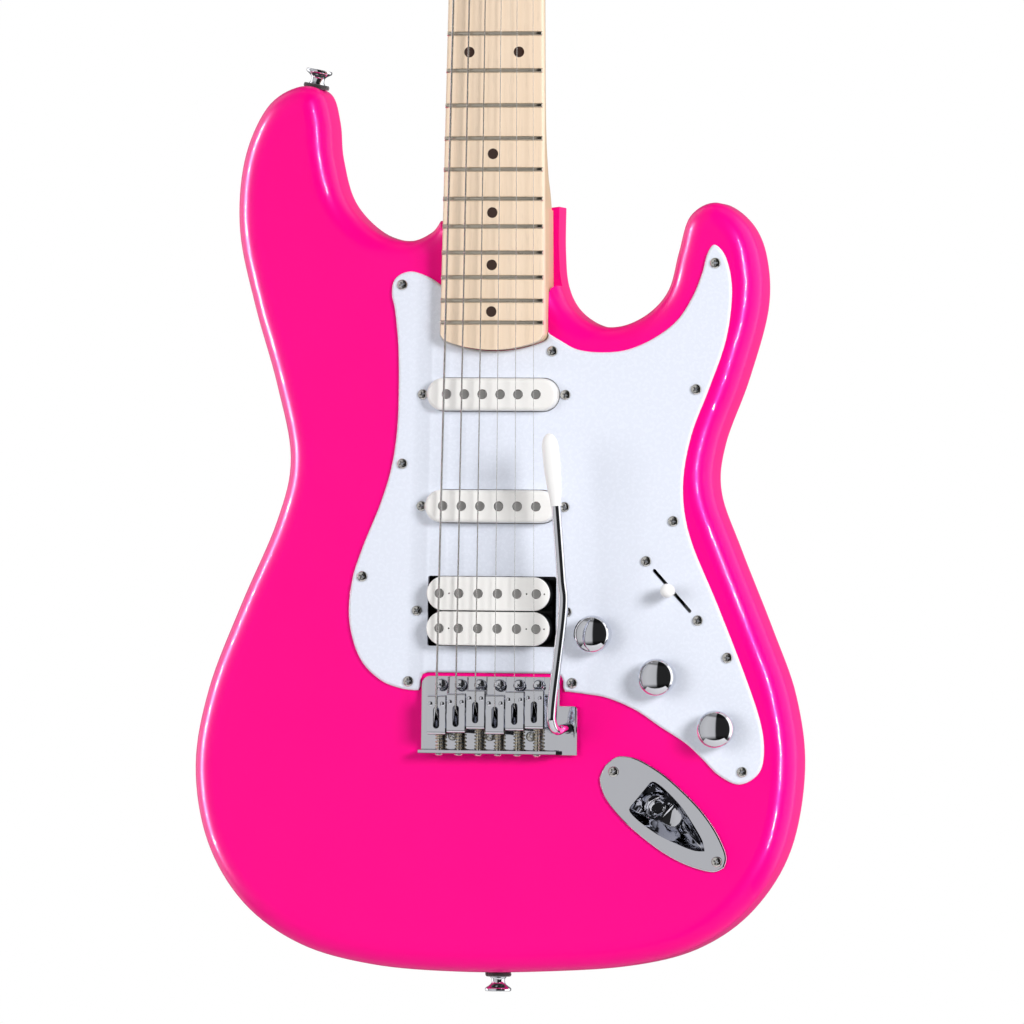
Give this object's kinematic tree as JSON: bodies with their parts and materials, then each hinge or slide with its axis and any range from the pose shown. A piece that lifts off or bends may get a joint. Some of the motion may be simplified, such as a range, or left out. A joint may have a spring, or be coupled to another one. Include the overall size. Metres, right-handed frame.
{
  "type": "toy electric guitar",
  "caption": "Solid-body electric guitar with double cutaway, bolt-on maple neck, tremolo bridge, three pickups, white pickguard and glossy pink body.",
  "frame": {"origin": "centre of the outer end face of the tail strap button, on the guitar's centre line at mid-thickness of the body", "axes": "+Z along the neck towards the headstock, -Y out of the front face (strings), +X towards the treble side, where the controls are"},
  "size_m": [0.324, 0.084, 0.9877],
  "materials": {
    "pink_gloss_paint": "gloss pink lacquer",
    "neck_maple": "satin lacquer",
    "board_maple": "gloss lacquer",
    "chrome": "polished",
    "nickel_steel": "bright",
    "string_steel": "bright",
    "white_plastic": "gloss",
    "guard_white": "gloss",
    "black_plastic": "matte",
    "black_felt": "felt",
    "coil_copper": "enamelled wire",
    "dot_inlay": "flush",
    "bone_white": "satin",
    "cast_metal": "plated"
  },
  "bodies": {
    "guitar": {"body": "pink_gloss_paint", "neck": "neck_maple", "truss_rod": "nickel_steel", "fretboard": "board_maple", "fret_wires": "nickel_steel", "position_dots": "dot_inlay", "nut": "bone_white", "strings": "string_steel", "string_trees": "chrome", "tuner_housings": "chrome", "tuner_bushings": "chrome", "neck_plate": "chrome", "wood_screws": "nickel_steel", "pickguard": "guard_white", "plate_screws": "nickel_steel", "neck_pickup_cover": "white_plastic", "middle_pickup_cover": "white_plastic", "single_coil_bobbins": "coil_copper", "single_coil_poles": "nickel_steel", "humbucker_bobbins": "white_plastic", "humbucker_coils": "black_plastic", "humbucker_baseplate": "black_plastic", "humbucker_poles": "nickel_steel", "pickup_screws": "nickel_steel", "pickup_springs": "nickel_steel", "bridge_pivot_screws": "chrome", "tremolo_springs": "nickel_steel", "spring_claw": "nickel_steel", "back_cover": "white_plastic", "potentiometers": "nickel_steel", "selector_switch": "nickel_steel", "jack_plate": "chrome", "output_jack": "chrome", "strap_buttons": "chrome", "strap_washers": "black_felt"},
    "tremolo_bridge": {"bridge_plate": "chrome", "bridge_saddles": "chrome", "saddle_height_screws": "nickel_steel", "bridge_screws": "nickel_steel", "intonation_springs": "nickel_steel", "sustain_block": "cast_metal"},
    "tremolo_arm": {"tremolo_arm": "chrome", "arm_tip": "white_plastic"},
    "volume_knob": {"volume_knob": "chrome"},
    "tone_knob_upper": {"tone_knob_upper": "chrome"},
    "tone_knob_lower": {"tone_knob_lower": "chrome"},
    "switch_lever": {"switch_lever": "nickel_steel", "switch_tip": "white_plastic"},
    "tuner_post_1": {"tuner_post_1": "chrome"},
    "tuner_button_1": {"tuner_button_1": "chrome"},
    "tuner_post_2": {"tuner_post_2": "chrome"},
    "tuner_button_2": {"tuner_button_2": "chrome"},
    "tuner_post_3": {"tuner_post_3": "chrome"},
    "tuner_button_3": {"tuner_button_3": "chrome"},
    "tuner_post_4": {"tuner_post_4": "chrome"},
    "tuner_button_4": {"tuner_button_4": "chrome"},
    "tuner_post_5": {"tuner_post_5": "chrome"},
    "tuner_button_5": {"tuner_button_5": "chrome"},
    "tuner_post_6": {"tuner_post_6": "chrome"},
    "tuner_button_6": {"tuner_button_6": "chrome"}
  },
  "joints": [
    {"name": "bridge_rock", "type": "hinge", "parent": "guitar", "child": "tremolo_bridge", "pos_m": [0, -0.0221, 0.16], "axis": [-1, 0, 0], "range_deg": [-1, 10], "stiffness_Nm_per_rad": 15, "deforming": ["strings", "tremolo_springs"]},
    {"name": "arm_swivel", "type": "hinge", "parent": "tremolo_bridge", "child": "tremolo_arm", "pos_m": [0.0415, -0.02, 0.138], "axis": [0, -1, 0], "range_deg": [-150, 15]},
    {"name": "volume_turn", "type": "hinge", "parent": "guitar", "child": "volume_knob", "pos_m": [0.056, -0.02, 0.187], "axis": [0, -1, 0], "range_deg": [0, 280]},
    {"name": "tone_upper_turn", "type": "hinge", "parent": "guitar", "child": "tone_knob_upper", "pos_m": [0.0905, -0.02, 0.165], "axis": [0, -1, 0], "range_deg": [0, 280]},
    {"name": "tone_lower_turn", "type": "hinge", "parent": "guitar", "child": "tone_knob_lower", "pos_m": [0.122, -0.02, 0.1385], "axis": [0, -1, 0], "range_deg": [0, 280]},
    {"name": "pickup_select", "type": "hinge", "parent": "guitar", "child": "switch_lever", "pos_m": [0.0962, -0.002, 0.2099], "axis": [0.7385, 0, 0.6743], "range_deg": [-28, 28]},
    {"name": "tuner_1_turn", "type": "hinge", "parent": "guitar", "child": "tuner_button_1", "pos_m": [-0.01692, -0.0027, 0.84146], "axis": [-0.9599, 0, 0.2803], "continuous": true},
    {"name": "post_1_turn", "type": "hinge", "parent": "guitar", "child": "tuner_post_1", "pos_m": [-0.0186, -0.02, 0.8357], "axis": [0, -1, 0], "continuous": true},
    {"name": "tuner_2_turn", "type": "hinge", "parent": "guitar", "child": "tuner_button_2", "pos_m": [-0.00962, -0.0027, 0.86646], "axis": [-0.9599, 0, 0.2803], "continuous": true},
    {"name": "post_2_turn", "type": "hinge", "parent": "guitar", "child": "tuner_post_2", "pos_m": [-0.0113, -0.02, 0.8607], "axis": [0, -1, 0], "continuous": true},
    {"name": "tuner_3_turn", "type": "hinge", "parent": "guitar", "child": "tuner_button_3", "pos_m": [-0.00232, -0.0027, 0.89146], "axis": [-0.9599, 0, 0.2803], "continuous": true},
    {"name": "post_3_turn", "type": "hinge", "parent": "guitar", "child": "tuner_post_3", "pos_m": [-0.004, -0.02, 0.8857], "axis": [0, -1, 0], "continuous": true},
    {"name": "tuner_4_turn", "type": "hinge", "parent": "guitar", "child": "tuner_button_4", "pos_m": [0.00498, -0.0027, 0.91646], "axis": [-0.9599, 0, 0.2803], "continuous": true},
    {"name": "post_4_turn", "type": "hinge", "parent": "guitar", "child": "tuner_post_4", "pos_m": [0.0033, -0.02, 0.9107], "axis": [0, -1, 0], "continuous": true},
    {"name": "tuner_5_turn", "type": "hinge", "parent": "guitar", "child": "tuner_button_5", "pos_m": [0.01228, -0.0027, 0.94146], "axis": [-0.9599, 0, 0.2803], "continuous": true},
    {"name": "post_5_turn", "type": "hinge", "parent": "guitar", "child": "tuner_post_5", "pos_m": [0.0106, -0.02, 0.9357], "axis": [0, -1, 0], "continuous": true},
    {"name": "tuner_6_turn", "type": "hinge", "parent": "guitar", "child": "tuner_button_6", "pos_m": [0.01958, -0.0027, 0.96646], "axis": [-0.9599, 0, 0.2803], "continuous": true},
    {"name": "post_6_turn", "type": "hinge", "parent": "guitar", "child": "tuner_post_6", "pos_m": [0.0179, -0.02, 0.9607], "axis": [0, -1, 0], "continuous": true}
  ],
  "couplings": [
    {"joint": "post_1_turn", "follows": "tuner_1_turn", "ratio": 0.071429},
    {"joint": "post_2_turn", "follows": "tuner_2_turn", "ratio": 0.071429},
    {"joint": "post_3_turn", "follows": "tuner_3_turn", "ratio": 0.071429},
    {"joint": "post_4_turn", "follows": "tuner_4_turn", "ratio": 0.071429},
    {"joint": "post_5_turn", "follows": "tuner_5_turn", "ratio": 0.071429},
    {"joint": "post_6_turn", "follows": "tuner_6_turn", "ratio": 0.071429}
  ]
}
